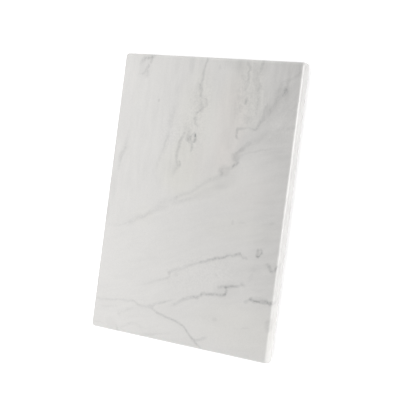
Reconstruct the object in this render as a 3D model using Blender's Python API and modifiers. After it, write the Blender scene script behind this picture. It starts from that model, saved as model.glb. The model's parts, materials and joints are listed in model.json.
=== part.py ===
"""Marble chopping board: a plain rectangular slab with rounded arrises on four stick-on rubber feet.

The board lies ready for use. Z = 0 is the worktop under the feet, +Z is up out of the work face,
+Y runs along the long side and +X along the short side. The origin is under the board's centre.
"""

import math

import bmesh
import bpy

# Slab
BOARD_LENGTH = 0.400
BOARD_WIDTH = 0.300
SLAB_THICKNESS = 0.015
ARRIS_RADIUS = 0.0045
FACE_CORNER_RADIUS = 0.0005
CORNER_SEGMENTS = 8
ARRIS_SEGMENTS = 8

# Feet, each a moulded bumper on its own disc of double-sided adhesive
FOOT_DIAMETER = 0.012
FOOT_HEIGHT = 0.0028
FOOT_DRAFT = math.radians(14)
FOOT_RIM_RADIUS = 0.0010
FOOT_INSET = 0.030
FOOT_STEPS = 40
RIM_STEPS = 6
ADHESIVE_MARGIN = 0.0005
ADHESIVE_THICKNESS = 0.0005

# Clearance left between two faces that touch on the real board
FACE_GAP = 0.0003

# Faces that meet at more than this angle keep a crisp edge, and the slab's rims are among them
SHARP_ANGLE = math.radians(40)

MARBLE_COLOUR = (0.66, 0.65, 0.63, 1.0)
RUBBER_COLOUR = (0.60, 0.60, 0.58, 1.0)
ADHESIVE_COLOUR = (0.74, 0.74, 0.71, 1.0)


def clear_scene():
    for obj in list(bpy.data.objects):
        bpy.data.objects.remove(obj, do_unlink=True)


def new_material(name, colour, roughness):
    material = bpy.data.materials.new(name)
    material.use_nodes = True
    shader = material.node_tree.nodes["Principled BSDF"]
    shader.inputs["Base Color"].default_value = colour
    shader.inputs["Roughness"].default_value = roughness
    shader.inputs["Metallic"].default_value = 0.0
    material.diffuse_color = colour
    return material


def add_object(name, mesh, material, collection, parent, location):
    obj = bpy.data.objects.new(name, mesh)
    if not mesh.materials:
        mesh.materials.append(material)
    collection.objects.link(obj)
    obj.parent = parent
    obj.location = location
    return obj


def slab_mesh():
    """A block with its four upright corners rounded. The arris modifier rounds the rims of both faces."""
    mesh = bpy.data.meshes.new("marble_slab")
    bm = bmesh.new()
    bmesh.ops.create_cube(bm, size=1.0)
    bmesh.ops.scale(bm, verts=bm.verts, vec=(BOARD_WIDTH, BOARD_LENGTH, SLAB_THICKNESS))
    uprights = [edge for edge in bm.edges if edge.verts[0].co.xy == edge.verts[1].co.xy]
    bmesh.ops.bevel(
        bm,
        geom=uprights,
        offset=ARRIS_RADIUS + FACE_CORNER_RADIUS,
        offset_type="OFFSET",
        segments=CORNER_SEGMENTS,
        profile=0.5,
        affect="EDGES",
    )
    bm.to_mesh(mesh)
    bm.free()
    return mesh


def marble_slab(material, collection, parent, underside_z):
    centre = (0.0, 0.0, underside_z + SLAB_THICKNESS / 2)
    slab = add_object("marble_slab", slab_mesh(), material, collection, parent, centre)
    arris = slab.modifiers.new("arris", "BEVEL")
    arris.limit_method = "ANGLE"
    arris.angle_limit = SHARP_ANGLE
    arris.offset_type = "OFFSET"
    arris.width = ARRIS_RADIUS
    arris.segments = ARRIS_SEGMENTS
    arris.harden_normals = True
    slab.data.shade_smooth()


def turned_mesh(name, profile, collection):
    """Turns an outline, which runs from the axis out over the top, down the side and back to the axis."""
    outline = bpy.data.meshes.new(name + "_outline")
    bm = bmesh.new()
    points = [bm.verts.new((radius, 0.0, height)) for radius, height in profile]
    for first, second in zip(points, points[1:]):
        bm.edges.new((first, second))
    bm.to_mesh(outline)
    bm.free()
    blank = bpy.data.objects.new(name + "_blank", outline)
    collection.objects.link(blank)
    screw = blank.modifiers.new("turn", "SCREW")
    screw.axis = "Z"
    screw.angle = 2 * math.pi
    screw.steps = FOOT_STEPS
    screw.render_steps = FOOT_STEPS
    screw.use_merge_vertices = True
    screw.merge_threshold = 0.00001
    turned = bpy.data.meshes.new_from_object(blank.evaluated_get(bpy.context.evaluated_depsgraph_get()))
    turned.name = name
    turned.shade_smooth()
    turned.set_sharp_from_angle(angle=SHARP_ANGLE)
    bpy.data.objects.remove(blank, do_unlink=True)
    return turned


def foot_profile():
    """A flat top for the adhesive, a side that leans in by the draft, a tangent round rim and a flat sole."""
    top_radius = FOOT_DIAMETER / 2
    lean_in = (FOOT_HEIGHT - FOOT_RIM_RADIUS) * math.tan(FOOT_DRAFT)
    sole_radius = top_radius - lean_in - FOOT_RIM_RADIUS / math.cos(FOOT_DRAFT)
    rim = []
    for step in range(RIM_STEPS + 1):
        angle = FOOT_DRAFT + (math.pi / 2 - FOOT_DRAFT) * step / RIM_STEPS
        x = sole_radius + FOOT_RIM_RADIUS * math.cos(angle)
        z = FOOT_RIM_RADIUS * (1 - math.sin(angle))
        rim.append((x, z))
    return [(0.0, FOOT_HEIGHT), (top_radius, FOOT_HEIGHT)] + rim + [(0.0, 0.0)]


def adhesive_profile():
    radius = FOOT_DIAMETER / 2 - ADHESIVE_MARGIN
    return [(0.0, ADHESIVE_THICKNESS), (radius, ADHESIVE_THICKNESS), (radius, 0.0), (0.0, 0.0)]


def foot_places():
    """Each foot's name and its place in plan, one near every corner."""
    x = BOARD_WIDTH / 2 - FOOT_INSET
    y = BOARD_LENGTH / 2 - FOOT_INSET
    return {
        "front_left": (-x, -y),
        "front_right": (x, -y),
        "rear_left": (-x, y),
        "rear_right": (x, y),
    }


def main():
    clear_scene()
    collection = bpy.data.collections.new("marble_chopping_board")
    bpy.context.scene.collection.children.link(collection)
    board = bpy.data.objects.new("marble_chopping_board", None)
    collection.objects.link(board)

    marble = new_material("marble", MARBLE_COLOUR, 0.30)
    rubber = new_material("foot_rubber", RUBBER_COLOUR, 0.55)
    adhesive = new_material("adhesive", ADHESIVE_COLOUR, 0.70)

    adhesive_z = FOOT_HEIGHT + FACE_GAP
    slab_z = adhesive_z + ADHESIVE_THICKNESS + FACE_GAP

    marble_slab(marble, collection, board, slab_z)
    foot_mesh = turned_mesh("rubber_foot", foot_profile(), collection)
    disc_mesh = turned_mesh("adhesive_disc", adhesive_profile(), collection)
    for place, (x, y) in foot_places().items():
        add_object("rubber_foot_" + place, foot_mesh, rubber, collection, board, (x, y, 0.0))
        add_object("adhesive_disc_" + place, disc_mesh, adhesive, collection, board, (x, y, adhesive_z))


main()
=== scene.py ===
"""Looks of the marble chopping board: polished, grey-veined white marble on four small rubber feet."""

import json
import math

import bpy
from mathutils import Matrix, Vector

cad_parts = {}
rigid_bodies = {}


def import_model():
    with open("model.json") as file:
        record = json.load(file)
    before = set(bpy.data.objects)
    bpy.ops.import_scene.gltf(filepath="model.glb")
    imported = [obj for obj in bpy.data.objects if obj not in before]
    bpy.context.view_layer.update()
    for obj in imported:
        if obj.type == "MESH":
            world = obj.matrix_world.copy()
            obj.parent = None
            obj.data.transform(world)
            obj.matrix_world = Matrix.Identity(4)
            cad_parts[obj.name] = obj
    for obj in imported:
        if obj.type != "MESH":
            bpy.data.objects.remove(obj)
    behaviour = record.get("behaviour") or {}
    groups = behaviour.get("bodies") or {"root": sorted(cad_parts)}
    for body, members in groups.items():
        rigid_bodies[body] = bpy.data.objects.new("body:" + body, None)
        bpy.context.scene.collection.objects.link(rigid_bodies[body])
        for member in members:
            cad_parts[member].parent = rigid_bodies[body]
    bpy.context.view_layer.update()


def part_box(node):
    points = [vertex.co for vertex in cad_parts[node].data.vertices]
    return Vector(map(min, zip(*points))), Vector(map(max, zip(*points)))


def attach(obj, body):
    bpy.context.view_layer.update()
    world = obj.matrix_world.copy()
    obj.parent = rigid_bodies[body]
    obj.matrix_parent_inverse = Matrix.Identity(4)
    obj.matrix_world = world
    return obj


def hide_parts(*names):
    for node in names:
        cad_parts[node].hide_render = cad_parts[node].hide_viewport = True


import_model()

MM = 0.001

# The slab, in metres. Two points are on a level where their heights differ by less than the last value
ARRIS_RADIUS = 4.5 * MM
FACE_CORNER_RADIUS = 0.5 * MM
CORNER_SEGMENTS = 12
ARRIS_SEGMENTS = 12
LEVEL_WITHIN = 0.01 * MM
slab_low, slab_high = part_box("marble_slab")
slab_size = slab_high - slab_low
slab_centre = (slab_low + slab_high) / 2
work_face_z = slab_high.z

# The feet and their adhesive discs. Each foot is made to reach up to its disc, and each disc up to the slab
CORNERS = ("front_left", "front_right", "rear_left", "rear_right")
ROUND_SIDES = 72
FOOT_DRAFT = math.radians(14)
FOOT_RIM_CUT = 0.78 * MM
FOOT_RIM_SEGMENTS = 7
FOOT_LIP_CUT = 0.15 * MM
ADHESIVE_EDGE_CUT = 0.12 * MM
SMALL_EDGE_SEGMENTS = 3
# Past this share of a blank's half height, a point belongs to its top or its bottom
END_SHARE = 0.99

# A bevel's profile that is a true arc, and how firmly large faces keep their own shading
ARC_PROFILE = 0.5
FLAT_FACE_WEIGHT = 100

# How the board stood for the camera: turned about the upright, leaning back from it and looked down on
TURN = math.radians(34.93)
LEAN = math.radians(12.91)
LOOK_DOWN = math.radians(11.25)
# The board's centre from the camera, in board lengths: to the right, up and ahead
CENTRE_RIGHT, CENTRE_UP, CENTRE_AHEAD = -0.0259, -0.0019, 4.1173
# The lens's focal length and the picture's width in pixels, and the width of the sensor
FOCAL_PIXELS = 1191.3
PICTURE_PIXELS = 400
SENSOR_MM = 36.0

# The room's light overhead and at eye level, and the floor, in metres, which lies a hair below the feet and
# glows only where it is seen
WHITE = (1, 1, 1, 1)
ROOM_LIGHT_ABOVE = 0.575
ROOM_LIGHT_LEVEL = 0.65
FLOOR_SIZE = 8.0
FLOOR_DROP = 0.2 * MM
FLOOR_PAINT = (0.8, 0.8, 0.8, 1)
FLOOR_GLOW = 0.5

# The lamps, in metres and watts. The side light is far off to the right, the strip runs along the left side
# and the front light along the front, and none of these shows in the polish. The gleam, a broad soft box up
# to the right, shows in the polish alone, above all as the bright line down the right arris
SIDE_LIGHT_PLACE = (3.3, 0.60, 0.55)
SIDE_LIGHT_SIZE = (1.0, 1.6)
SIDE_LIGHT_POWER = 61.5
STRIP_PLACE = (-0.31, 0.05, 0.28)
STRIP_AIM = (-0.10, 0.05, 0.0)
STRIP_SIZE = (0.16, 1.4)
STRIP_POWER = 0.96
FRONT_LIGHT_PLACE = (0.15, -0.55, 0.45)
FRONT_LIGHT_AIM = (0.05, -0.17, 0.0)
FRONT_LIGHT_SIZE = (1.2, 0.3)
FRONT_LIGHT_POWER = 0.63
GLEAM_PLACE = (2.1, 0.55, 2.45)
GLEAM_SIZE = (2.4, 1.7)
GLEAM_POWER = 53.0

# Colours of the stone
PALE_STONE = (0.7465, 0.736, 0.719, 1)
CREAM_STONE = (0.747, 0.736, 0.701, 1)
WARM_STONE = (0.760, 0.728, 0.700, 1)
# The grey of the smoke, also used for the painted shade of the broad smoky patches
SMOKE_AND_PAINTED_SHADE_GREY = (0.240, 0.240, 0.240, 1)
VEIN_GREY = (0.205, 0.210, 0.212, 1)

# Every noise has its middle here, and plain or fine detail where no other is given. Lumps are widths in mm,
# and a mottle has its lump and the amount by which it varies a value either way
NOISE_MIDDLE = 0.5
PLAIN_DETAIL = 2.0
FINE_DETAIL = 4.0

# The veins run on through the stone at a slant: for each mm down, this far across and along the board
VEIN_SLANT = (0.6, -0.9, 0.0)
# A vein's width is held as a share of the widest, in mm
WIDEST_VEIN = 16.0
# How far a vein's halo reaches, in half widths, and how fast it darkens from there to its line
HALO_REACH = 2.8
VEIN_FALL = 3.0
# The nudge that a noise gives the veins' lines, in mm
VEIN_NUDGE = 2.0
NUDGE_LUMP = 9.0
# Breaks in the veins: the noise where they are deepest and where a vein is whole, and its strength there
BREAK_LUMP = 3.2
BREAK_NOISE = (0.32, 0.60)
BREAK_STRENGTH = (0.55, 1.32)

# Streaks along the beds, in mm: how thin, long and deep they are, and how far the clouds drift them
STREAK_SIZE = (8, 48, 20)
STREAK_DRIFT = 16.0
# The slope in degrees of the lower beds and of those by the upper right corner
LOWER_BED_SLOPE = 17
CORNER_BED_SLOPE = 50
# How strong the streaks are, the share of that in the lower and in the corner beds, and how strongly they
# vary the smoke and the painted shade and light of the patches
STREAKING = 0.16
LOWER_STREAKING = 0.75
CORNER_STREAKING = 0.6
PATCH_STREAKING = 1.5
# The beds change along two lines through the slab's centre, one up to its right corner and one along the
# long smoky vein. A point's product with the line's vector grows as the point goes past the line, and each
# change takes this range of it
CORNER_LINE = (1.29, -1.0, 0.0)
CORNER_CHANGE = (-5.0, 30.0)
UPPER_LINE = (-0.5, 1.0, 0.0)
UPPER_CHANGE = (0.0, 60.0)

# The clouds, the smoke that is everywhere, and the specks
CLOUD_LUMP = 55.0
CLOUDING = 0.10
BASE_SMOKE = 0.04
SPECK_SIZE = 3.0
# The crystals' width in mm, their contrast, and their height as a share of the depth of a full grey vein
CRYSTAL_SIZE = 0.9
CRYSTAL_CONTRAST = 0.05
CRYSTAL_RELIEF = 0.12
VEIN_DEPTH = 0.010 * MM
# The polish, its mottle, and how much duller it is on a vein
POLISH_ROUGHNESS = 0.25
POLISH_MOTTLE = (14.0, 0.12)
VEIN_DULLNESS = 0.12
# The wax on the arrises and sides, which sets in over this many mm outside the flats
ARRIS_WAX_ROUGHNESS = 0.32
WAX_EDGE = 1.5

# The feet's rubber, the dirt round their soles, which reaches up this many mm, and their dimples
PALE_RUBBER = (0.60, 0.60, 0.58, 1)
RUBBER_DIRT = (0.30, 0.29, 0.27, 1)
RUBBER_TINT_MOTTLE = (4.0, 0.05)
RUBBER_ROUGHNESS = 0.5
SMUDGE_MOTTLE = (1.6, 0.6)
DIRT_HEIGHT = 0.9
MOST_DIRT = 0.35
DIRT_DULLNESS = 0.3
DIMPLE_SIZE = 0.22
DIMPLE_DETAIL = 3.0
DIMPLE_DEPTH = 0.03 * MM

# The foam of the discs. Between these distances from a cell's middle its colour gives way to white
WHITE_FOAM = (0.76, 0.76, 0.73, 1)
FOAM_TINT_MOTTLE = (3.0, 0.04)
FOAM_ROUGHNESS = 0.75
FOAM_DULLNESS_MOTTLE = (1.0, 0.1)
FOAM_CELL_COLOUR = (0.60, 0.60, 0.57, 1)
FOAM_CELL = 0.25
FOAM_CELL_EDGE = (0.1, 0.7)
FOAM_CELL_DEPTH = 0.08 * MM

# Each vein is a line of points: mm to the right of the board's centre, mm up from it, width in mm and
# percent of grey. A line that ends in no grey fades out there, and one that ends past an edge runs over
# the rim
VEINS = {
    "corner_hook": (
        (-95, 206, 5, 26), (-98, 198, 6, 30), (-103, 195, 6, 27), (-108, 194, 6.5, 30),
        (-113, 192.5, 6, 27), (-117, 189.5, 5.5, 20), (-120, 186, 5, 10), (-123, 181, 5, 0),
    ),
    "corner_hook_stub": (
        (-98, 198, 4, 0), (-100.5, 193, 5, 16), (-101.5, 189, 4.6, 19), (-103, 185, 3, 0),
    ),
    "corner_hook_tail": (
        (-103, 186, 3, 0), (-105, 183, 4.5, 18), (-107, 180, 5, 20), (-109, 177, 4, 14), (-111, 174, 4, 14),
        (-113, 171, 4, 14), (-118, 170.5, 3, 9), (-122, 170, 2, 0),
    ),
    "corner_hook_drip": ((-105, 179, 3, 0), (-106, 174, 5, 14), (-106, 169, 6, 11), (-108, 163, 5, 0)),
    "long_upright": (
        (-3, 206, 3.5, 14), (-5, 195, 3.5, 28), (-7, 190, 3.5, 20), (-8, 185, 3.5, 20), (-9, 178, 4, 24),
        (-9, 170, 4, 24), (-10, 165, 3.5, 22), (-11, 160, 6, 28), (-9.5, 154, 6.5, 20), (-9, 149, 4, 14),
        (-8.5, 144, 4, 33), (-3, 142.8, 3.5, 20), (2, 140, 4, 12), (3, 135, 4, 22), (1, 131, 4.5, 15),
        (-3, 128, 4.5, 18), (-6, 125.5, 4, 34), (-9, 123, 4.5, 37), (-12, 121, 4, 18), (-13, 117, 4, 8),
        (-13, 113, 4.5, 25), (-12.5, 109, 4, 14), (-11.5, 106, 5, 23), (-8, 104, 4, 14), (-6, 100, 4, 0),
    ),
    "ring_stalk": (
        (-22, 100, 5, 0), (-21, 95, 6, 16), (-20.5, 89, 8, 22), (-20, 84.5, 8, 34), (-17.5, 80, 5.5, 24),
        (-15, 78, 4, 25), (-13, 76, 4, 25), (-12, 73, 4.5, 31), (-13, 69, 4, 24), (-13.5, 65.5, 2.5, 0),
    ),
    "ring_top": (
        (-16, 90.5, 3, 0), (-14, 91.5, 3.8, 22), (-11.5, 92.5, 4.5, 42), (-9.5, 91, 5, 46),
        (-7.5, 88, 3, 0),
    ),
    "ring_right": (
        (-10.5, 93, 3.5, 0), (-9.3, 89, 5, 38), (-9, 84.5, 5, 40), (-10, 81, 4.6, 32),
        (-12.5, 79.5, 3.5, 20), (-15, 80, 3, 0),
    ),
    "ring_left": (
        (-15, 91, 2.5, 0), (-16.5, 88, 3, 26), (-16.5, 85, 3, 18), (-15.5, 82, 3, 18), (-12, 79, 2, 0),
    ),
    "left_upright": (
        (-26, 101, 4, 0), (-27.5, 95, 4.5, 12), (-29, 89, 4.5, 16), (-32, 84, 4.5, 24), (-34, 78, 5, 27),
        (-34.5, 72, 5, 25), (-36, 66, 5, 21), (-36.5, 60, 5, 24), (-35.5, 54, 5, 20), (-34.5, 49, 5, 17),
        (-33.5, 44, 5.5, 16), (-35, 40, 6, 12), (-38, 31, 5, 0),
    ),
    "left_upright_spur": (
        (-31, 54, 3, 0), (-29.5, 50, 4.2, 25), (-29, 47, 4.2, 24), (-30.5, 43.5, 3.5, 12), (-33, 42, 2, 0),
    ),
    "left_streak": (
        (-50, 132, 6, 0), (-52, 118, 7, 6), (-54, 108, 8, 9), (-55, 95, 7, 5), (-57, 82, 8, 13),
        (-59, 72, 8, 12), (-64, 58, 7, 6), (-68, 45, 7, 6), (-74, 26, 6, 0),
    ),
    "far_left_smear": (
        (-127, 94, 6, 0), (-127.5, 80, 7, 7), (-128, 70, 7, 9), (-128.5, 63, 7, 15), (-131, 57, 7, 15),
        (-134, 50, 7.5, 17), (-135, 45, 7, 14), (-134.5, 38, 7, 8), (-135, 33, 6, 8), (-136, 26, 5, 0),
    ),
    "upper_dashes": (
        (61, 198, 3, 0), (62.5, 192, 4.4, 24), (66, 189.5, 5, 33), (67, 186, 4.5, 25), (64, 181, 3.4, 17),
        (65.5, 176, 4, 16), (66, 171, 4.4, 13), (65, 165, 4.4, 16), (63.5, 158, 4.2, 10), (64, 152, 3.5, 5),
        (66, 146, 4.4, 21), (66.5, 141.5, 5, 33), (67, 137, 3.5, 0),
    ),
    "upper_dashes_right": (
        (87, 206, 3.5, 22), (86, 197, 4, 22), (84, 190, 4.5, 22), (83, 184, 4, 14), (82, 176, 3.5, 5),
        (83, 168, 3.5, 12), (85, 163, 4.5, 22), (83.5, 159, 4, 13), (85, 152, 3.5, 6), (86, 145, 4, 9),
        (84.5, 138, 4, 9), (84, 131, 4, 6), (83, 124, 4, 0),
    ),
    "stair_riser": (
        (100, 145, 4, 0), (100, 139, 4, 8), (98, 135, 4.5, 10), (97, 130, 4.5, 11), (96.5, 125, 5, 17),
        (97, 121.5, 6, 25), (94, 117, 5, 26), (91.5, 113, 4, 26), (89, 109, 4, 29), (87, 105.5, 4, 22),
        (85, 103, 3, 0),
    ),
    "stair_tread": (
        (88, 107, 3, 0), (85.5, 105.6, 3.5, 18), (82, 105.6, 4, 20), (78, 106.3, 3.2, 14),
        (73, 106.8, 3, 13), (69, 106, 3.2, 16), (65, 105, 4, 26), (61, 104.5, 4.2, 29),
        (57.5, 103.5, 4, 22), (55, 102, 2.5, 0),
    ),
    "stair_drop": (
        (57, 106, 3, 0), (57.5, 102, 4, 22), (58, 97.5, 4.2, 25), (58.5, 93.5, 4, 22), (61, 91, 4, 11),
        (63, 89, 2, 0),
    ),
    "corner_rise": (
        (98, 118, 5, 0), (104, 128, 6, 5), (112, 141, 5, 20), (114.5, 148, 5, 17), (119, 151.5, 5, 16),
        (122.5, 154, 6, 32), (126, 161, 7, 43), (128, 166, 5, 14), (129, 174, 4.5, 17), (135, 177, 5, 12),
        (143, 183, 6, 10), (157, 194, 6, 8),
    ),
    "corner_rise_upper": (
        (110, 148, 4, 0), (112, 157, 7, 6), (117, 163, 6, 9), (119, 169, 5, 10), (124, 173.5, 4.5, 12),
        (130, 177, 3, 0),
    ),
    "smoke_upper_right": (
        (162, 117, 8, 7), (147, 113, 7, 9), (138, 111, 7, 10), (130, 110.5, 6, 9), (118, 107, 6, 6),
        (108, 104, 7, 4), (98, 97, 8, 5), (88, 89, 8, 7), (80, 86, 8, 8), (74, 82.5, 6, 0),
    ),
    "smoke_lower_right": (
        (160, 90, 5, 2), (145, 87, 5, 3), (130, 84, 4, 5), (117, 82, 3.5, 6), (107, 80, 3, 11),
        (98, 78.5, 3, 9), (90, 76, 3, 10), (84, 74.5, 3, 7), (77, 72.5, 4, 6), (72, 70.5, 4, 10),
        (67, 67.5, 4, 12), (64, 64.5, 3, 0),
    ),
    "elbow_upper": (
        (84, 90, 6, 0), (78, 85.5, 6, 10), (74, 82, 6, 13), (71, 78.5, 5.2, 25), (67.5, 76, 4.6, 32),
        (64, 73, 4.2, 23), (60.5, 71, 4.2, 15), (57, 67, 4, 0),
    ),
    "elbow_middle": ((56, 74, 7, 0), (58, 69, 9, 10), (61, 65, 9, 14), (64.5, 62, 7, 20), (67, 58, 4, 0)),
    "elbow_lower": (
        (69, 60.5, 3, 0), (65, 57.5, 4.5, 31), (61, 55.2, 4.8, 37), (57.5, 52.4, 4.8, 33),
        (55.5, 50.6, 4.5, 19), (50, 51, 6, 13), (45, 51, 7, 11), (41, 49.5, 7, 10), (37, 46, 6, 8),
        (33, 42, 4, 0),
    ),
    "elbow_drip": (
        (37, 49, 4, 0), (40.5, 46, 5, 14), (42.5, 42.5, 5, 19), (43, 39.5, 4, 12), (43.5, 36.5, 2, 0),
    ),
    "smoke_upper_branch": (
        (44, 43, 7, 0), (33, 34.5, 7, 13), (23, 30.5, 6, 12), (14, 24.5, 5.5, 9), (6, 19, 5.5, 11),
        (0, 15, 5.5, 9), (-5, 11.5, 5.5, 9), (-12, 8.5, 5.5, 10), (-18, 6, 5.5, 10), (-24, 3.5, 5.5, 11),
        (-31, -0.5, 6, 9), (-40, -4.5, 6, 0),
    ),
    "smoke_lower_branch": (
        (14, 11, 6, 0), (4, 6, 6, 6), (-5, 2, 6, 9), (-12, 0, 5.5, 10), (-20, -3, 6, 10), (-28, -6, 7, 8),
        (-38, -7, 6, 0),
    ),
    "smoke_trail": (
        (-26, -2, 10, 0), (-40, -5, 10, 6), (-47, -7, 10, 7), (-54, -11, 11, 8), (-60, -18, 10, 8),
        (-67, -23, 8, 9), (-71, -25, 6.5, 12), (-76, -29, 6, 12), (-80, -32, 6, 15), (-88, -34, 7, 11),
        (-95, -38, 7.5, 10), (-100, -41, 7.5, 11), (-108, -44.5, 6, 9), (-118, -48, 5, 6),
        (-135, -49.5, 4.5, 4), (-160, -50, 4.5, 3),
    ),
    "lower_right_line": (
        (92, -67, 3, 0), (90.5, -64.5, 3.7, 29), (87, -62.3, 4.2, 38), (82, -64, 3.8, 32),
        (78, -66.3, 3.8, 31), (72, -66.3, 3.8, 33), (68, -67.5, 3.8, 36), (64, -70.5, 3.8, 34),
        (58, -72, 3.8, 36), (50, -73.5, 3.8, 36), (44, -76, 3.8, 34), (38, -78, 3.8, 33),
        (33, -80.5, 3.7, 25), (27, -82, 3.8, 28), (22, -84, 4, 14), (16, -86.5, 4, 14), (11, -88.3, 4, 15),
        (5, -91, 4.5, 12), (-2, -94, 4.5, 13), (-8, -97, 5, 13), (-15, -99, 5, 13), (-20, -101, 4.5, 15),
        (-23.5, -103.5, 4.5, 17), (-28, -104, 3, 0),
    ),
    "lower_right_line_end": (
        (91, -66, 3, 0), (94, -67, 3.5, 26), (97, -66.2, 3.5, 24), (99.5, -67.5, 3.5, 12), (102, -68, 3, 0),
    ),
    "lower_right_line_jog": (
        (-22, -102, 3, 0), (-23, -106, 4, 11), (-23.5, -110, 4, 11), (-26, -114, 3, 0),
    ),
    "lower_left_line": (
        (-22, -111, 3, 0), (-28, -113, 4, 10), (-37, -116, 4, 8), (-45, -118.5, 4, 8), (-50, -121, 4, 6),
        (-60, -125, 4.5, 5), (-72, -128, 4, 0),
    ),
    "eye_bottom": (
        (111, -59, 3.5, 0), (113, -61.5, 4, 36), (116, -62, 4.4, 47), (118.5, -60.8, 4, 33),
        (121, -58.5, 3, 0),
    ),
    "eye_right": (
        (119, -50, 3, 0), (120.5, -54, 4, 26), (121, -57, 4, 37), (119.5, -60, 3.5, 16),
        (118.5, -62, 2.5, 0),
    ),
    "eye_trail": (
        (114, -60, 5, 0), (113, -72, 6, 3), (111, -85, 6, 4), (107, -97, 6, 4), (103, -108, 4, 0),
    ),
    "right_notch_left": (
        (128.5, -69.5, 3, 0), (131, -70, 4.2, 20), (134, -71.5, 4.6, 26), (136.5, -74.5, 4.8, 27),
        (138.5, -78, 4.4, 25), (139.5, -81, 2.5, 0),
    ),
    "right_notch_right": (
        (137, -80, 3, 0), (140, -79, 4.4, 26), (143, -77.5, 4.6, 26), (145.5, -74.5, 5, 34),
        (148, -72.5, 5, 36), (150.5, -72, 4, 15), (159, -67, 4, 8), (169, -61, 4, 0),
    ),
    "step_upper": (
        (103, -101.5, 3.5, 0), (100, -103.5, 4.5, 14), (95, -102.5, 4, 18), (93.5, -105, 3.5, 20),
        (88, -106.3, 3.5, 29), (82, -107, 3.5, 35), (77, -108.3, 3.5, 36), (72, -109.5, 3.8, 38),
        (67, -110, 3.5, 25), (62, -111.3, 3.8, 25), (58.5, -112, 3, 0),
    ),
    "step_riser": (
        (73.5, -108.5, 3, 0), (72.8, -111.5, 3.8, 22), (74, -114.5, 3.8, 31), (73, -118, 4, 34),
        (71.5, -120.5, 4, 25), (69, -122.5, 3, 0),
    ),
    "step_lower": (
        (75, -119.5, 3, 0), (70.5, -121, 3.9, 32), (64, -122, 4.2, 31), (57, -122, 4.2, 31),
        (50, -123, 4.2, 33), (43, -124, 4.4, 33), (38, -124, 4.7, 27), (34, -126, 5, 35),
        (31.5, -128, 4.7, 25), (28, -130.5, 4.7, 33), (22, -131, 4.4, 31), (17, -132.5, 4.4, 23),
        (11, -134.5, 4.7, 23), (5, -137.5, 4.7, 20), (0, -140.5, 4.7, 19), (-5, -144.5, 4.7, 16),
        (-10, -147, 4.5, 9), (-16, -149, 3, 0),
    ),
    "right_bar": (
        (102, -125, 2.5, 0), (106, -124, 3.8, 24), (109.5, -122.6, 4.2, 28), (111.5, -120.5, 4.5, 37),
        (114, -120, 4.5, 41), (117.5, -121.7, 4.3, 44), (122, -121.3, 4.3, 44), (127, -121, 4.3, 44),
        (132, -120.4, 4.6, 46), (138, -119.8, 5, 45), (143, -120.8, 5, 48), (146, -120.5, 4.8, 42),
        (150, -120.5, 3.8, 20), (160, -120.5, 3.4, 11), (175, -119.5, 2.5, 0),
    ),
    "bottom_vein": (
        (-165, -157, 4, 6), (-150, -158.5, 4, 8), (-128, -158, 4, 9), (-118, -157.5, 3.8, 11),
        (-108, -155, 3.8, 10), (-98, -154, 4, 10), (-88, -154, 4, 9), (-80, -152.5, 3.8, 12),
        (-75, -154.3, 3.5, 12), (-69, -156.5, 4, 12), (-60, -157, 4, 10), (-54, -156.8, 4.5, 13),
        (-48, -156.5, 4.5, 14), (-42, -158.8, 4, 14), (-38, -161, 3.4, 18), (-33, -163, 3, 30),
        (-26, -164.3, 3, 28), (-20, -166, 3, 28), (-12, -167, 3, 32), (-6, -167.8, 3, 29),
        (0, -169.5, 3, 29), (6, -171.5, 3, 28), (11, -173, 3, 28), (15, -176, 3, 29), (20, -181, 3.1, 30),
        (25, -185.5, 3.2, 29), (30, -188.8, 3.3, 29), (34, -191.8, 3.2, 29), (39, -195, 3, 25),
        (44, -198.5, 3, 23), (52, -205, 3, 18),
    ),
    "bottom_vein_branch": (
        (-54, -157.5, 3, 0), (-50, -156, 4, 16), (-45, -154, 4, 18), (-40, -150.8, 3.6, 18),
        (-33, -148.5, 3.6, 20), (-28, -146.5, 3.8, 22), (-22, -144, 3.6, 12), (-14, -141, 3.4, 7),
        (-6, -139, 3, 0),
    ),
    "bottom_vein_twig": (
        (27, -190.5, 3, 0), (32, -189, 3.6, 18), (37, -188.5, 3.6, 18), (41, -187, 3.6, 17),
        (46, -184.5, 4.2, 18), (50, -182.5, 4, 10), (55, -180, 3, 0),
    ),
    "bottom_wisp_1": (
        (-144, -169.5, 3, 0), (-134, -168.5, 3.5, 4), (-125, -167.5, 3.5, 5), (-112, -165, 3.5, 4),
        (-100, -163, 3, 0),
    ),
    "bottom_wisp_2": (
        (-109, -176, 5, 0), (-103, -174, 5, 5), (-95, -170.5, 4.5, 4), (-88, -167, 4.5, 8),
        (-80, -163.5, 4.5, 6), (-73, -159.5, 4, 0),
    ),
    "bottom_wisp_3": (
        (-98, -194, 4, 0), (-95, -193.5, 4.5, 6), (-88, -189, 5, 4), (-82, -186, 5, 7), (-75, -184, 5, 6),
        (-66, -184.5, 5, 6), (-60, -187, 5, 4), (-54, -189, 4, 0),
    ),
    "bottom_wisp_4": (
        (-62, -197, 3.5, 0), (-55, -196, 4, 5), (-48, -195, 4, 8), (-40, -194, 4, 9), (-33, -192, 3.5, 8),
        (-25, -190.5, 3.5, 6), (-15, -188, 3.5, 4), (-6, -186, 3, 0),
    ),
    "bottom_wisp_5": (
        (-158, -194, 3.5, 6), (-140, -192.3, 3.5, 7), (-128, -193, 3.5, 6), (-124, -194, 3, 0),
    ),
    "bottom_left_blot": (
        (-104, -206, 5, 10), (-101.5, -197, 5.5, 15), (-103, -193, 4, 9), (-106, -187, 4, 0),
    ),
}
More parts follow.
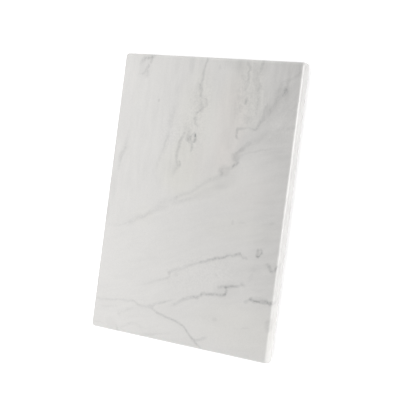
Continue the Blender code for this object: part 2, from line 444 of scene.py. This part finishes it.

# Patches of smoke, as ellipses: mm to the right of the centre, mm up, half width, half height, turn in
# degrees and percent of smoke in the middle, which is below zero where the stone is clearer than elsewhere.
# Most are the stone's own smoke, but the broad dark ones over the right and the top are painted shade, and
# the broad clear ones below zero are painted light
SMOKE_AND_PAINTED_SHADE_PATCHES = (
    (113, 138, 48, 16, 57, 9),
    # Painted shade: these four broad ones darken the upper right and the top
    (130, 135, 85, 115, 0, 11),
    (142, 165, 30, 52, 0, 9),
    (136, 197, 42, 24, 0, 7),
    (45, 198, 32, 20, 0, 9),
    (103, 132, 8, 10, 0, 7),
    (132, 128, 20, 20, 0, 4),
    (115, 97, 36, 13, 6, 7),
    (130, 77, 32, 6, 4, 4),
    # Painted shade: a broad darkening down the right side
    (145, -20, 55, 140, 0, 12),
    (78, 88, 22, 16, 30, 5),
    (45, 92, 16, 24, 0, 4),
    (147, -150, 10, 12, 0, 14),
    (53, 190, 12, 20, 0, 6),
    (82, 190, 20, 16, 0, 6),
    (48, 155, 13, 58, 0, 6),
    (62, 158, 8, 46, 0, 4),
    (76, 168, 9, 30, 0, 5),
    (72, 118, 9, 9, 0, 8),
    (48, 128, 6, 24, 0, 6),
    (57, 175, 5, 5, 0, 8),
    (54.5, 147, 3.5, 6, 0, 7),
    (59, 133, 3.5, 8, 0, 7),
    (17, 186, 3, 6, 0, 8),
    (62, 66, 13, 20, -20, 5),
    (50, 32, 24, 16, 30, 7),
    (28, 16, 36, 12, 24, 5),
    (46, 45, 12, 9, 20, 10),
    (61, 65, 8, 8, 0, 10),
    (-13, 185, 8, 24, 0, 3),
    (-13, 155, 10, 20, 0, 4),
    (-4, 138, 9, 15, 0, 8),
    (-6, 137, 3, 5, 0, 6),
    (-3, 131, 2.5, 4, 0, 6),
    (-18, 146, 15, 26, 0, 4),
    (-7, 127, 9, 10, 0, 5),
    (-13, 110, 8, 14, 0, 4),
    (-30, 188, 6, 18, 0, 9),
    (-25, 102, 9, 7, 0, 7),
    (-45, 40, 15, 16, -20, 6),
    (-55, 188, 5, 18, 0, 5),
    (-51, 156, 5, 15, 0, 5),
    (-79, 134.5, 2.2, 3, 0, 18),
    (-20, 85, 5, 6, 0, 7),
    (-112, 182, 18, 22, 0, 5),
    (-131, 52, 9, 28, -11, 4),
    (-140, 8, 8, 24, 0, 6),
    # Darker along the left edge, by its arris
    (-147, -30, 6, 24, 0, 8),
    (-50, -17, 15, 6, 20, 6),
    (-27.5, 0, 2, 4, 0, 10),
    (-12, -105, 6, 5, 0, 6),
    (70, -22, 3, 5, 0, 9),
    (84, -21, 7, 1.5, 8, 6),
    (131, -16.5, 6, 3, 20, 6),
    (115, -56, 3.5, 5.5, 0, 22),
    (88, -64, 10, 4, 0, 5),
    (54, -97, 4, 3.5, 0, 8),
    (98, -102, 6, 4, 0, 8),
    (100, -90, 30, 36, 0, 4),
    (74, 72, 18, 13, 0, 5),
    (72, -113, 26, 16, 10, 6),
    (129, -118.5, 22, 6, 0, 8),
    (61, -156, 5, 4, 0, 8),
    (111, -159, 9, 2, 8, 5),
    (-101, -175.5, 5, 4, 0, 5),
    (-115, -190, 13, 11, 0, 5),
    # Painted light: the broad clear patches, which lighten the middle and the lower part
    (15, 100, 24, 55, 0, -4),
    (85, -146, 45, 17, 0, -4),
    (25, -115, 50, 60, 0, -3),
    (35, -178, 95, 26, 0, -5),
)
# Cream and warm patches, given as the patches of smoke and painted shade are
CREAM_PATCHES = (
    (-10, 110, 45, 95, 0, 70),
    (62, 150, 48, 65, 0, 62),
    (-35, 45, 42, 45, 0, 70),
    (-10, 22, 55, 30, 0, 50),
    (45, 35, 35, 45, 0, 28),
    (80, -30, 70, 22, 0, 35),
    (-80, -30, 24, 22, 0, 28),
    (105, -160, 95, 42, 0, 48),
)
WARM_PATCHES = (
    (45, 112, 34, 80, 0, 60),
    (20, 58, 50, 34, 20, 30),
    (95, 20, 50, 40, 20, 20),
)
# Patches where the stone is speckled, given in the same way
SPECKLED_PATCHES = (
    (-8, 120, 28, 75, 0, 38),
    (-50, 95, 30, 50, 0, 25),
    (72, 150, 32, 60, 0, 36),
    (122, 125, 42, 50, 0, 18),
    (30, -95, 80, 36, 15, 25),
)


def select_only(obj):
    for other in bpy.context.view_layer.objects:
        other.select_set(False)
    obj.select_set(True)
    bpy.context.view_layer.objects.active = obj


def finish_mesh(obj, name, material, node):
    """Settles a piece: its place goes into its mesh, it gets its finish and it takes over its CAD node."""
    select_only(obj)
    bpy.ops.object.transform_apply(location=True, rotation=True, scale=True)
    obj.name = name
    obj.data.name = name
    obj.data.materials.clear()
    obj.data.materials.append(material)
    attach(obj, "root")
    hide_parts(node)


def select_edges(obj, wanted):
    """Selects the edges whose two ends pass the test, and goes into edit mode."""
    select_only(obj)
    bpy.ops.object.mode_set(mode="EDIT")
    bpy.ops.mesh.select_mode(type="EDGE")
    bpy.ops.mesh.select_all(action="DESELECT")
    bpy.ops.object.mode_set(mode="OBJECT")
    points = obj.data.vertices
    for edge in obj.data.edges:
        first, second = (points[index].co for index in edge.vertices)
        edge.select = wanted(first, second)
    bpy.ops.object.mode_set(mode="EDIT")


def bevel_edges(obj, wanted, offset, segments):
    select_edges(obj, wanted)
    bpy.ops.mesh.bevel(offset=offset, segments=segments, profile=ARC_PROFILE, affect="EDGES")
    bpy.ops.object.mode_set(mode="OBJECT")


def keep_flats_flat(obj):
    """Shades a piece smooth while its large flat faces stay flat up to their edges."""
    obj.data.shade_smooth()
    weighted = obj.modifiers.new("flat_faces_stay_flat", "WEIGHTED_NORMAL")
    weighted.keep_sharp = True
    weighted.weight = FLAT_FACE_WEIGHT
    select_only(obj)
    bpy.ops.object.modifier_apply(modifier=weighted.name)


def marble_slab(material):
    """The slab: its upright corners are rounded first, and then the arrises of both faces all round."""
    bpy.ops.mesh.primitive_cube_add(size=1.0, location=slab_centre, scale=slab_size)
    slab = bpy.context.object
    bpy.ops.object.transform_apply(location=False, rotation=False, scale=True)
    corner = ARRIS_RADIUS + FACE_CORNER_RADIUS
    bevel_edges(slab, lambda a, b: abs(a.z - b.z) > slab_size.z / 2, corner, CORNER_SEGMENTS)
    bevel_edges(slab, lambda a, b: abs(a.z - b.z) < LEVEL_WITHIN, ARRIS_RADIUS, ARRIS_SEGMENTS)
    keep_flats_flat(slab)
    finish_mesh(slab, "slab", material, "marble_slab")


def round_blank(low, high, radius):
    """An upright round blank that fills a box's height, over the box's middle."""
    depth = high.z - low.z
    middle = (low + high) / 2
    bpy.ops.mesh.primitive_cylinder_add(
        vertices=ROUND_SIDES, radius=radius, depth=depth, location=middle, end_fill_type="NGON"
    )
    return bpy.context.object


def foot_box(corner):
    """The CAD foot's box, stretched up to its disc."""
    low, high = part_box("rubber_foot_" + corner)
    high.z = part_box("adhesive_disc_" + corner)[0].z
    return low, high


def disc_box(corner):
    """The CAD disc's box, stretched up to the slab."""
    low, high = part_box("adhesive_disc_" + corner)
    high.z = slab_low.z
    return low, high


def rubber_foot(low, high):
    """A moulded bumper: a flat top with a small lip, sides that lean in, a round rim and a flat sole."""
    radius = (high.x - low.x) / 2
    foot = round_blank(low, high, radius)
    half = (high.z - low.z) / 2
    sole_share = 1 - 2 * half * math.tan(FOOT_DRAFT) / radius
    select_edges(foot, lambda a, b: max(a.z, b.z) < 0)
    bpy.ops.transform.resize(value=(sole_share, sole_share, 1))
    bpy.ops.object.mode_set(mode="OBJECT")
    bevel_edges(foot, lambda a, b: max(a.z, b.z) < 0, FOOT_RIM_CUT, FOOT_RIM_SEGMENTS)
    bevel_edges(foot, lambda a, b: min(a.z, b.z) > half * END_SHARE, FOOT_LIP_CUT, SMALL_EDGE_SEGMENTS)
    keep_flats_flat(foot)
    return foot


def adhesive_disc(low, high):
    """A disc of foam tape, whose cut edge is a little rounded where it is squeezed."""
    disc = round_blank(low, high, (high.x - low.x) / 2)
    half = (high.z - low.z) / 2

    def at_an_end(a, b):
        return abs(a.z - b.z) < half and abs(a.z) > half * END_SHARE

    bevel_edges(disc, at_an_end, ADHESIVE_EDGE_CUT, SMALL_EDGE_SEGMENTS)
    keep_flats_flat(disc)
    return disc


def copy_at(obj, low, high):
    """A copy of a piece, with its own mesh, in the middle of another box."""
    twin = obj.copy()
    twin.data = obj.data.copy()
    twin.location = (low + high) / 2
    bpy.context.collection.objects.link(twin)
    return twin


def feet_on_discs(rubber, foam):
    """A foot and its disc at each corner. Those at the first are modelled and then copied."""
    first_foot = rubber_foot(*foot_box(CORNERS[0]))
    first_disc = adhesive_disc(*disc_box(CORNERS[0]))
    pairs = [(first_foot, first_disc)]
    for corner in CORNERS[1:]:
        foot = copy_at(first_foot, *foot_box(corner))
        disc = copy_at(first_disc, *disc_box(corner))
        pairs.append((foot, disc))
    for corner, (foot, disc) in zip(CORNERS, pairs):
        finish_mesh(foot, "foot_" + corner, rubber, "rubber_foot_" + corner)
        finish_mesh(disc, "adhesive_" + corner, foam, "adhesive_disc_" + corner)


def feed(tree, node, feeds):
    """Feeds a node's inputs with sockets or plain values."""
    for name, value in feeds.items():
        if isinstance(value, bpy.types.NodeSocket):
            tree.links.new(value, node.inputs[name])
        else:
            node.inputs[name].default_value = value


def add_node(tree, kind, feeds, **settings):
    node = tree.nodes.new("ShaderNode" + kind)
    for name, value in settings.items():
        setattr(node, name, value)
    feed(tree, node, feeds)
    return node


def maths(tree, operation, *values, clamp=False):
    return add_node(tree, "Math", dict(enumerate(values)), operation=operation, use_clamp=clamp).outputs[0]


def vectors(tree, operation, *values):
    return add_node(tree, "VectorMath", dict(enumerate(values)), operation=operation).outputs[0]


def dot(tree, first, second):
    return add_node(tree, "VectorMath", {0: first, 1: second}, operation="DOT_PRODUCT").outputs["Value"]


def part_of(tree, vector, axis):
    return add_node(tree, "SeparateXYZ", {0: vector}).outputs[axis]


def blend_values(tree, share, first, second):
    """Goes from the first value to the second as the share goes from 0 to 1."""
    return add_node(tree, "Mix", {0: share, 2: first, 3: second}, data_type="FLOAT").outputs[0]


def blend_colours(tree, share, first, second):
    """Goes from the first colour to the second as the share goes from 0 to 1."""
    mix = add_node(tree, "Mix", {0: share}, data_type="RGBA")
    feed(tree, mix, {6: first, 7: second})
    return mix.outputs[2]


def smooth_range(tree, value, start, end, low=0.0, high=1.0):
    """Goes from low to high, with soft ends, while the value goes from start to end."""
    feeds = {"Value": value, "From Min": start, "From Max": end, "To Min": low, "To Max": high}
    return add_node(tree, "MapRange", feeds, interpolation_type="SMOOTHSTEP").outputs[0]


def noise(tree, place, lump, detail=PLAIN_DETAIL):
    """Soft noise with lumps about as wide as given."""
    return add_node(tree, "TexNoise", {"Vector": place, "Scale": 1 / lump, "Detail": detail}).outputs


def centred(tree, value):
    return maths(tree, "SUBTRACT", value, NOISE_MIDDLE)


def drifted(tree, place, colour, reach):
    """The place moved across and along the board by a noise's colour, which is at most half the reach."""
    drift = vectors(tree, "SUBTRACT", colour, (NOISE_MIDDLE, NOISE_MIDDLE, NOISE_MIDDLE))
    return vectors(tree, "MULTIPLY_ADD", drift, (reach, reach, 0), place)


def bump(tree, height, depth):
    """The normals of a relief that is as deep as given where its height is 1."""
    return add_node(tree, "Bump", {"Height": height, "Distance": depth, "Strength": 1.0}).outputs[0]


def new_group(name, inputs, outputs):
    """An empty node group, with the sockets of its input node and of its output node."""
    group = bpy.data.node_groups.new(name, "ShaderNodeTree")
    for label, kind in inputs.items():
        group.interface.new_socket(label, in_out="INPUT", socket_type="NodeSocket" + kind)
    for label, kind in outputs.items():
        group.interface.new_socket(label, in_out="OUTPUT", socket_type="NodeSocket" + kind)
    given = group.nodes.new("NodeGroupInput").outputs
    result = group.nodes.new("NodeGroupOutput").inputs
    return group, given, result


def vein_axis_group():
    """How far a point lies along a vein's axis, as a grey from 0 at its start to 1 at its end, and how far
    aside in mm."""
    group, given, result = new_group(
        "vein_axis",
        {"Place": "Vector", "Start": "Vector", "Ahead": "Vector", "Aside": "Vector"},
        {"Along": "Color", "Across": "Float"},
    )
    step = vectors(group, "SUBTRACT", given["Place"], given["Start"])
    along = dot(group, step, given["Ahead"])
    same = add_node(group, "CombineColor", {0: along, 1: along, 2: along}).outputs[0]
    group.links.new(same, result["Along"])
    group.links.new(dot(group, step, given["Aside"]), result["Across"])
    return group


def vein_group():
    """One vein, added to the veins before it: darkest on its line, with a faint halo on each side."""
    group, given, result = new_group(
        "vein",
        {"Line": "Color", "Across": "Float", "Sweep": "Float", "Grey": "Float"},
        {"Grey": "Float"},
    )
    line = add_node(group, "SeparateColor", {0: given["Line"]}).outputs
    aside = maths(group, "MULTIPLY_ADD", line["Red"], given["Sweep"], given["Across"])
    share = maths(group, "DIVIDE", maths(group, "ABSOLUTE", aside), line["Green"])
    core = smooth_range(group, share, HALO_REACH * WIDEST_VEIN / 2, 0.0)
    strength = maths(group, "POWER", core, VEIN_FALL)
    group.links.new(maths(group, "MULTIPLY_ADD", strength, line["Blue"], given["Grey"]), result["Grey"])
    return group


def patch_group():
    """One soft oval patch, added to the patches before it."""
    group, given, result = new_group(
        "patch",
        {
            "Place": "Vector", "Centre": "Vector", "Long": "Vector", "Short": "Vector",
            "Middle": "Float", "Patches": "Float",
        },
        {"Patches": "Float"},
    )
    step = vectors(group, "SUBTRACT", given["Place"], given["Centre"])
    long = dot(group, step, given["Long"])
    short = dot(group, step, given["Short"])
    square = maths(group, "MULTIPLY_ADD", long, long, maths(group, "MULTIPLY", short, short))
    soft = smooth_range(group, square, 1.0, 0.0)
    group.links.new(maths(group, "MULTIPLY_ADD", soft, given["Middle"], given["Patches"]), result["Patches"])
    return group


def mottle_group():
    """A value close to 1 that wanders over the surface, as no finish is quite even."""
    group, given, result = new_group(
        "mottle", {"Place": "Vector", "Lump": "Float", "Amount": "Float"}, {"Value": "Float"}
    )
    scale = maths(group, "DIVIDE", 1.0, given["Lump"])
    feeds = {"Vector": given["Place"], "Scale": scale, "Detail": FINE_DETAIL}
    lumps = add_node(group, "TexNoise", feeds).outputs["Fac"]
    swing = maths(group, "DIVIDE", centred(group, lumps), NOISE_MIDDLE)
    group.links.new(maths(group, "MULTIPLY_ADD", swing, given["Amount"], 1.0), result["Value"])
    return group


def lay(tree, group, feeds):
    """Uses a node group with its own values, and gives what it puts out."""
    node = tree.nodes.new("ShaderNodeGroup")
    node.node_tree = group
    feed(tree, node, feeds)
    return node.outputs


def mottled(tree, group, place, lump, amount):
    return lay(tree, group, {"Place": place, "Lump": lump, "Amount": amount})["Value"]


def draw_curve(curve, points):
    """Takes a curve through its points, which run from 0 to 1."""
    curve.points[0].location = points[0]
    curve.points[1].location = points[-1]
    for along, value in points[1:-1]:
        curve.points.new(along, value)
    for point in curve.points:
        point.handle_type = "AUTO_CLAMPED"


def vein(tree, axis_group, group, place, line, grey):
    """Lays one vein. Its axis runs from its first point to its last, and three curves hold how far the line
    departs from the axis, how wide it is and how grey."""
    start = Vector(line[0][:2])
    run = Vector(line[-1][:2]) - start
    ahead = run.normalized()
    aside = Vector((-ahead.y, ahead.x))
    steps = [Vector(point[:2]) - start for point in line]
    shares = [step.dot(ahead) / run.length for step in steps]
    offsets = [step.dot(aside) for step in steps]
    lowest = min(offsets)
    sweep = max(offsets) - lowest
    corner = start + aside * lowest
    feeds = {"Place": place, "Start": (*corner, 0)}
    feeds.update({"Ahead": (*(ahead / run.length), 0), "Aside": (*aside, 0)})
    axis = lay(tree, axis_group, feeds)
    curves = add_node(tree, "RGBCurve", {"Color": axis["Along"]})
    curves.mapping.extend = "HORIZONTAL"
    offset_curve, width_curve, grey_curve = curves.mapping.curves[:3]
    draw_curve(offset_curve, [(share, (offset - lowest) / sweep) for share, offset in zip(shares, offsets)])
    draw_curve(width_curve, [(share, point[2] / WIDEST_VEIN) for share, point in zip(shares, line)])
    draw_curve(grey_curve, [(share, point[3] / 100) for share, point in zip(shares, line)])
    curves.mapping.update()
    feeds = {"Line": curves.outputs[0], "Across": axis["Across"], "Sweep": -sweep, "Grey": grey}
    return lay(tree, group, feeds)["Grey"]


def patches(tree, group, place, ovals):
    """The sum of soft oval patches."""
    total = 0.0
    for x, y, half_width, half_height, turn, middle in ovals:
        lie = math.radians(turn)
        long = Vector((math.cos(lie), math.sin(lie), 0)) / half_width
        short = Vector((-math.sin(lie), math.cos(lie), 0)) / half_height
        feeds = {"Place": place, "Centre": (x, y, 0), "Long": long, "Short": short}
        feeds.update({"Middle": middle / 100, "Patches": total})
        total = lay(tree, group, feeds)["Patches"]
    return total


def new_finish(name):
    material = bpy.data.materials.new(name)
    material.use_nodes = True
    return material, material.node_tree, material.node_tree.nodes["Principled BSDF"]


def place_in_mm(tree):
    coords = add_node(tree, "TexCoord", {}).outputs["Object"]
    return vectors(tree, "MULTIPLY", coords, (1 / MM, 1 / MM, 1 / MM))


def bedded_place(tree, place):
    """The place followed up the veins' slant to the work face, and nudged so that no line is smooth."""
    depth = maths(tree, "SUBTRACT", work_face_z / MM, part_of(tree, place, "Z"))
    followed = vectors(tree, "MULTIPLY_ADD", depth, VEIN_SLANT, place)
    return drifted(tree, followed, noise(tree, place, NUDGE_LUMP, FINE_DETAIL)["Color"], VEIN_NUDGE)


def streaks_along(tree, place, turn, size):
    """Streaks as long, wide and deep as the size, turned by some degrees."""
    feeds = {0: place, 2: (0, 0, math.radians(turn)), 3: size}
    along = add_node(tree, "Mapping", feeds, vector_type="TEXTURE").outputs[0]
    return centred(tree, noise(tree, along, 1.0, FINE_DETAIL)["Fac"])


def bed_streaks(tree, place, clouds):
    """Faint streaks along the stone's beds, which stand upright in its upper part, lean over to its upper
    right corner, and slope under the long smoky vein."""
    place = drifted(tree, place, clouds["Color"], STREAK_DRIFT)
    thin, long, deep = STREAK_SIZE
    upright = streaks_along(tree, place, 0, (thin, long, deep))
    leaning = streaks_along(tree, place, CORNER_BED_SLOPE, (long, thin, deep))
    sloping = streaks_along(tree, place, LOWER_BED_SLOPE, (long, thin, deep))
    by_the_corner = smooth_range(tree, dot(tree, place, CORNER_LINE), *CORNER_CHANGE)
    leaning = maths(tree, "MULTIPLY", leaning, CORNER_STREAKING)
    upper = blend_values(tree, by_the_corner, upright, leaning)
    above = smooth_range(tree, dot(tree, place, UPPER_LINE), *UPPER_CHANGE)
    sloping = maths(tree, "MULTIPLY", sloping, LOWER_STREAKING)
    return blend_values(tree, above, sloping, upper)


def rim_share(tree, place):
    """0 on the flat of both faces and 1 on the rounded arrises and the sides, which have a coat of wax."""
    flat = slab_size / 2 / MM - Vector((ARRIS_RADIUS, ARRIS_RADIUS, 0)) / MM
    out_x = maths(tree, "SUBTRACT", maths(tree, "ABSOLUTE", part_of(tree, place, "X")), flat.x)
    out_y = maths(tree, "SUBTRACT", maths(tree, "ABSOLUTE", part_of(tree, place, "Y")), flat.y)
    return smooth_range(tree, maths(tree, "MAXIMUM", out_x, out_y), 0.0, WAX_EDGE)


def grey_veins(tree, bed):
    """How grey the veins make the stone, with short breaks in them."""
    axis, one_vein = vein_axis_group(), vein_group()
    veins = 0.0
    for line in VEINS.values():
        veins = vein(tree, axis, one_vein, bed, line, veins)
    breaks = smooth_range(tree, noise(tree, bed, BREAK_LUMP)["Fac"], *BREAK_NOISE, *BREAK_STRENGTH)
    return maths(tree, "MULTIPLY", veins, breaks, clamp=True)


def smoke_and_painted_shade_in(tree, one_patch, bed):
    """How smoky the stone is: its patches, some of them painted shade and light, clouds, streaks and specks
    together.
    """
    clouds = noise(tree, bed, CLOUD_LUMP, FINE_DETAIL)
    streaks = bed_streaks(tree, bed, clouds)
    streaky = maths(tree, "MULTIPLY_ADD", streaks, PATCH_STREAKING, 1.0)
    # The patches: the stone's smoke, with painted shade from the broad dark ones and painted light from the
    # clear ones
    smoke_and_shade = maths(tree, "MULTIPLY", patches(tree, one_patch, bed, SMOKE_AND_PAINTED_SHADE_PATCHES), streaky)
    smoke_and_shade = maths(tree, "MULTIPLY_ADD", centred(tree, clouds["Fac"]), CLOUDING, smoke_and_shade)
    smoke_and_shade = maths(tree, "MULTIPLY_ADD", streaks, STREAKING, smoke_and_shade)
    specks = centred(tree, noise(tree, bed, SPECK_SIZE)["Fac"])
    speckled = patches(tree, one_patch, bed, SPECKLED_PATCHES)
    smoke_and_shade = maths(tree, "MULTIPLY_ADD", specks, speckled, smoke_and_shade)
    return maths(tree, "ADD", smoke_and_shade, BASE_SMOKE, clamp=True)


def marble(mottle):
    """Polished white marble: faintly streaked pale beds, smoky patches with painted shade and light, grey
    veins, fine crystals.
    """
    material, tree, shader = new_finish("marble")
    place = place_in_mm(tree)
    bed = bedded_place(tree, place)
    one_patch = patch_group()
    veins = grey_veins(tree, bed)
    smoke_and_shade = smoke_and_painted_shade_in(tree, one_patch, bed)

    stone = blend_colours(tree, patches(tree, one_patch, bed, CREAM_PATCHES), PALE_STONE, CREAM_STONE)
    stone = blend_colours(tree, patches(tree, one_patch, bed, WARM_PATCHES), stone, WARM_STONE)
    # The smoke greys the stone, and so does the painted shade that comes with it
    stone = blend_colours(tree, smoke_and_shade, stone, SMOKE_AND_PAINTED_SHADE_GREY)
    stone = blend_colours(tree, veins, stone, VEIN_GREY)
    crystals = add_node(tree, "TexVoronoi", {"Vector": place, "Scale": 1 / CRYSTAL_SIZE}).outputs
    glint = add_node(tree, "SeparateColor", {0: crystals["Color"]}).outputs["Red"]
    brightness = maths(tree, "MULTIPLY_ADD", glint, CRYSTAL_CONTRAST, 1 - CRYSTAL_CONTRAST / 2)
    colour = vectors(tree, "MULTIPLY", stone, brightness)

    polish = mottled(tree, mottle, place, *POLISH_MOTTLE)
    dullness = maths(tree, "MULTIPLY_ADD", veins, VEIN_DULLNESS, POLISH_ROUGHNESS)
    roughness = maths(tree, "MULTIPLY", polish, dullness)
    relief = maths(tree, "MULTIPLY_ADD", veins, -1.0, maths(tree, "MULTIPLY", glint, CRYSTAL_RELIEF))
    feed(tree, shader, {"Base Color": colour, "Roughness": roughness})
    feed(tree, shader, {"Coat Weight": rim_share(tree, place), "Coat Roughness": ARRIS_WAX_ROUGHNESS})
    feed(tree, shader, {"Normal": bump(tree, relief, VEIN_DEPTH)})
    return material


def foot_rubber(mottle):
    """Pale moulded rubber with a dull, finely dimpled skin, a little dirty round the sole."""
    material, tree, shader = new_finish("foot_rubber")
    place = place_in_mm(tree)
    smudges = mottled(tree, mottle, place, *SMUDGE_MOTTLE)
    low = smooth_range(tree, part_of(tree, place, "Z"), DIRT_HEIGHT, 0.0, 0.0, MOST_DIRT)
    dirt = maths(tree, "MULTIPLY", low, smudges, clamp=True)
    rubber = blend_colours(tree, dirt, PALE_RUBBER, RUBBER_DIRT)
    colour = vectors(tree, "MULTIPLY", rubber, mottled(tree, mottle, place, *RUBBER_TINT_MOTTLE))
    skin = maths(tree, "MULTIPLY", smudges, RUBBER_ROUGHNESS)
    roughness = maths(tree, "MULTIPLY_ADD", dirt, DIRT_DULLNESS, skin, clamp=True)
    dimples = noise(tree, place, DIMPLE_SIZE, DIMPLE_DETAIL)["Fac"]
    feed(tree, shader, {"Base Color": colour, "Roughness": roughness})
    feed(tree, shader, {"Normal": bump(tree, dimples, DIMPLE_DEPTH)})
    return material


def adhesive_foam(mottle):
    """White foam tape, whose cut edge shows its cells."""
    material, tree, shader = new_finish("adhesive")
    place = place_in_mm(tree)
    feeds = {"Vector": place, "Scale": 1 / FOAM_CELL}
    from_middle = add_node(tree, "TexVoronoi", feeds, feature="SMOOTH_F1").outputs["Distance"]
    shade = smooth_range(tree, from_middle, *FOAM_CELL_EDGE)
    foam = blend_colours(tree, shade, FOAM_CELL_COLOUR, WHITE_FOAM)
    colour = vectors(tree, "MULTIPLY", foam, mottled(tree, mottle, place, *FOAM_TINT_MOTTLE))
    dullness = mottled(tree, mottle, place, *FOAM_DULLNESS_MOTTLE)
    roughness = maths(tree, "MULTIPLY", dullness, FOAM_ROUGHNESS)
    feed(tree, shader, {"Base Color": colour, "Roughness": roughness})
    feed(tree, shader, {"Normal": bump(tree, from_middle, FOAM_CELL_DEPTH)})
    return material


def seen_directly(tree):
    """1 for what the camera sees itself, in a gloss or through glass, and 0 for the light on a surface."""
    path = add_node(tree, "LightPath", {}).outputs
    sight = maths(tree, "MAXIMUM", path["Is Camera Ray"], path["Is Glossy Ray"])
    return maths(tree, "MAXIMUM", sight, path["Is Transmission Ray"])


def add_floor():
    """A plain pale floor, which the camera, gloss and glass see as white but for the board's shadow."""
    bpy.ops.mesh.primitive_plane_add(size=FLOOR_SIZE, location=(0, 0, -FLOOR_DROP))
    floor = bpy.context.object
    floor.name = "floor"
    material = bpy.data.materials.new("floor")
    material.use_nodes = True
    tree = material.node_tree
    tree.nodes.clear()
    paint = add_node(tree, "BsdfDiffuse", {"Color": FLOOR_PAINT}).outputs[0]
    seen_glow = maths(tree, "MULTIPLY", seen_directly(tree), FLOOR_GLOW)
    glow = add_node(tree, "Emission", {"Strength": seen_glow}).outputs[0]
    both = add_node(tree, "AddShader", {0: paint, 1: glow}).outputs[0]
    add_node(tree, "OutputMaterial", {"Surface": both})
    floor.data.materials.append(material)


def add_room():
    """A soft grey room, lighter at eye level than above, that looks white to the camera."""
    world = bpy.data.worlds.new("studio")
    bpy.context.scene.world = world
    world.use_nodes = True
    tree = world.node_tree
    tree.nodes.clear()
    direction = add_node(tree, "TexCoord", {}).outputs["Generated"]
    height = maths(tree, "ABSOLUTE", part_of(tree, direction, "Z"))
    feeds = {"Value": height, "To Min": ROOM_LIGHT_LEVEL, "To Max": ROOM_LIGHT_ABOVE}
    light = add_node(tree, "MapRange", feeds).outputs[0]
    room = add_node(tree, "Background", {"Color": WHITE, "Strength": light}).outputs[0]
    backdrop = add_node(tree, "Background", {"Color": WHITE, "Strength": 1.0}).outputs[0]
    mix = add_node(tree, "MixShader", {0: seen_directly(tree), 1: room, 2: backdrop}).outputs[0]
    add_node(tree, "OutputWorld", {"Surface": mix})


def add_panel(name, place, aim, size, power, gleams=False):
    """A soft box at a place, facing the point that it is aimed at, its second side as near to Y as that
    allows. It either lights surfaces evenly or only gleams in what is polished."""
    data = bpy.data.lights.new(name, "AREA")
    data.shape = "RECTANGLE"
    data.size, data.size_y = size
    data.energy = power
    panel = bpy.data.objects.new(name, data)
    ahead = (Vector(aim) - Vector(place)).normalized()
    across = ahead.cross(Vector((0, 1, 0))).normalized()
    along = across.cross(ahead)
    panel.matrix_world = Matrix.Translation(place) @ Matrix((across, along, -ahead)).transposed().to_4x4()
    panel.visible_camera = False
    panel.visible_diffuse = not gleams
    panel.visible_glossy = gleams
    bpy.context.scene.collection.objects.link(panel)


def add_lights():
    add_room()
    add_panel("side_light", SIDE_LIGHT_PLACE, slab_centre, SIDE_LIGHT_SIZE, SIDE_LIGHT_POWER)
    add_panel("gleam", GLEAM_PLACE, slab_centre, GLEAM_SIZE, GLEAM_POWER, gleams=True)
    add_panel("strip_light", STRIP_PLACE, STRIP_AIM, STRIP_SIZE, STRIP_POWER)
    add_panel("front_light", FRONT_LIGHT_PLACE, FRONT_LIGHT_AIM, FRONT_LIGHT_SIZE, FRONT_LIGHT_POWER)


def add_camera():
    """Puts the camera where it sees the board, which lies flat, as if it stood turned and leaning back."""
    board_right = Vector((math.cos(TURN), -math.sin(TURN), 0))
    board_up = Vector((math.sin(TURN) * math.sin(LEAN), math.cos(TURN) * math.sin(LEAN), math.cos(LEAN)))
    board_back = Vector((math.sin(TURN) * math.cos(LEAN), math.cos(TURN) * math.cos(LEAN), -math.sin(LEAN)))
    view_right = Vector((1, 0, 0))
    view_up = Vector((0, math.sin(LOOK_DOWN), math.cos(LOOK_DOWN)))
    view_ahead = Vector((0, math.cos(LOOK_DOWN), -math.sin(LOOK_DOWN)))
    board = Matrix((board_right, board_up, board_back)).transposed()
    seen = Matrix((view_right, view_up, view_ahead)) @ board
    centre = Vector((CENTRE_RIGHT, CENTRE_UP, CENTRE_AHEAD)) * slab_size.y
    place = -(seen.transposed() @ centre)
    right, up, ahead = (Vector((row.x, row.y, -row.z)) for row in seen)
    data = bpy.data.cameras.new("camera")
    camera = bpy.data.objects.new("camera", data)
    bpy.context.scene.collection.objects.link(camera)
    stand = Matrix.Translation((place.x, place.y, work_face_z - place.z))
    camera.matrix_world = stand @ Matrix((right, up, -ahead)).transposed().to_4x4()
    data.sensor_width = SENSOR_MM
    data.lens = FOCAL_PIXELS / PICTURE_PIXELS * SENSOR_MM
    bpy.context.scene.camera = camera


def dress_board():
    mottle = mottle_group()
    marble_slab(marble(mottle))
    feet_on_discs(foot_rubber(mottle), adhesive_foam(mottle))


add_camera()
add_lights()
add_floor()
dress_board()
bpy.context.scene.view_settings.view_transform = "Standard"
